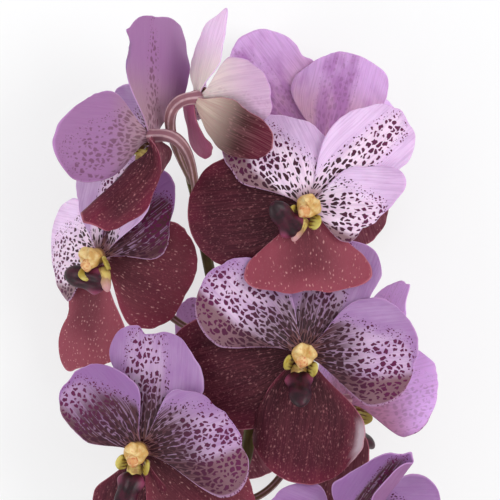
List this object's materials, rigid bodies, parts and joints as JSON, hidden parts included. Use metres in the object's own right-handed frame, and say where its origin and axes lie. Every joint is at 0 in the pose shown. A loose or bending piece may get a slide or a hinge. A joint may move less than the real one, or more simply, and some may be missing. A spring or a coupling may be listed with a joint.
{
  "type": "cut vanda orchid",
  "caption": "Cut orchid flower stem lying on its side, its flat open blooms facing up, down and outwards on curved stalks, with a bare stem below them.",
  "frame": {"origin": "middle of the footprint, on the table that the stem lies on", "axes": "+Y along the stem from its cut end to the youngest bloom, +Z up from the table, so most blooms face +Z, and +X to the right as one looks down with +Y up"},
  "size_m": [0.1661, 0.3674, 0.1224],
  "materials": {
    "lilac": "soft satin, spotted with wine red",
    "wine": "soft satin, flecked with pale pink",
    "maroon": "waxy",
    "cream": "waxy",
    "mauve": "ribbed satin",
    "olive": "matte"
  },
  "bodies": {
    "root": {"bloom_01_petals": "lilac", "bloom_01_lateral_sepals": "wine", "bloom_01_column": "cream", "bloom_01_lip": "maroon", "bloom_01_pedicel": "mauve", "bloom_02_petals": "lilac", "bloom_02_lateral_sepals": "wine", "bloom_02_column": "cream", "bloom_02_lip": "maroon", "bloom_02_pedicel": "mauve", "bloom_03_petals": "lilac", "bloom_03_lateral_sepals": "wine", "bloom_03_column": "cream", "bloom_03_lip": "maroon", "bloom_03_pedicel": "mauve", "bloom_04_petals": "lilac", "bloom_04_lateral_sepals": "wine", "bloom_04_column": "cream", "bloom_04_lip": "maroon", "bloom_04_pedicel": "mauve", "bloom_05_petals": "lilac", "bloom_05_lateral_sepals": "wine", "bloom_05_column": "cream", "bloom_05_lip": "maroon", "bloom_05_pedicel": "mauve", "bloom_06_petals": "lilac", "bloom_06_lateral_sepals": "wine", "bloom_06_column": "cream", "bloom_06_lip": "maroon", "bloom_06_pedicel": "mauve", "bloom_07_petals": "lilac", "bloom_07_lateral_sepals": "wine", "bloom_07_column": "cream", "bloom_07_lip": "maroon", "bloom_07_pedicel": "mauve", "bloom_08_petals": "lilac", "bloom_08_lateral_sepals": "wine", "bloom_08_column": "cream", "bloom_08_lip": "maroon", "bloom_08_pedicel": "mauve", "bloom_09_petals": "lilac", "bloom_09_lateral_sepals": "wine", "bloom_09_column": "cream", "bloom_09_lip": "maroon", "bloom_09_pedicel": "mauve", "bloom_10_petals": "lilac", "bloom_10_lateral_sepals": "wine", "bloom_10_column": "cream", "bloom_10_lip": "maroon", "bloom_10_pedicel": "mauve", "stem": "olive"}
  },
  "joints": []
}
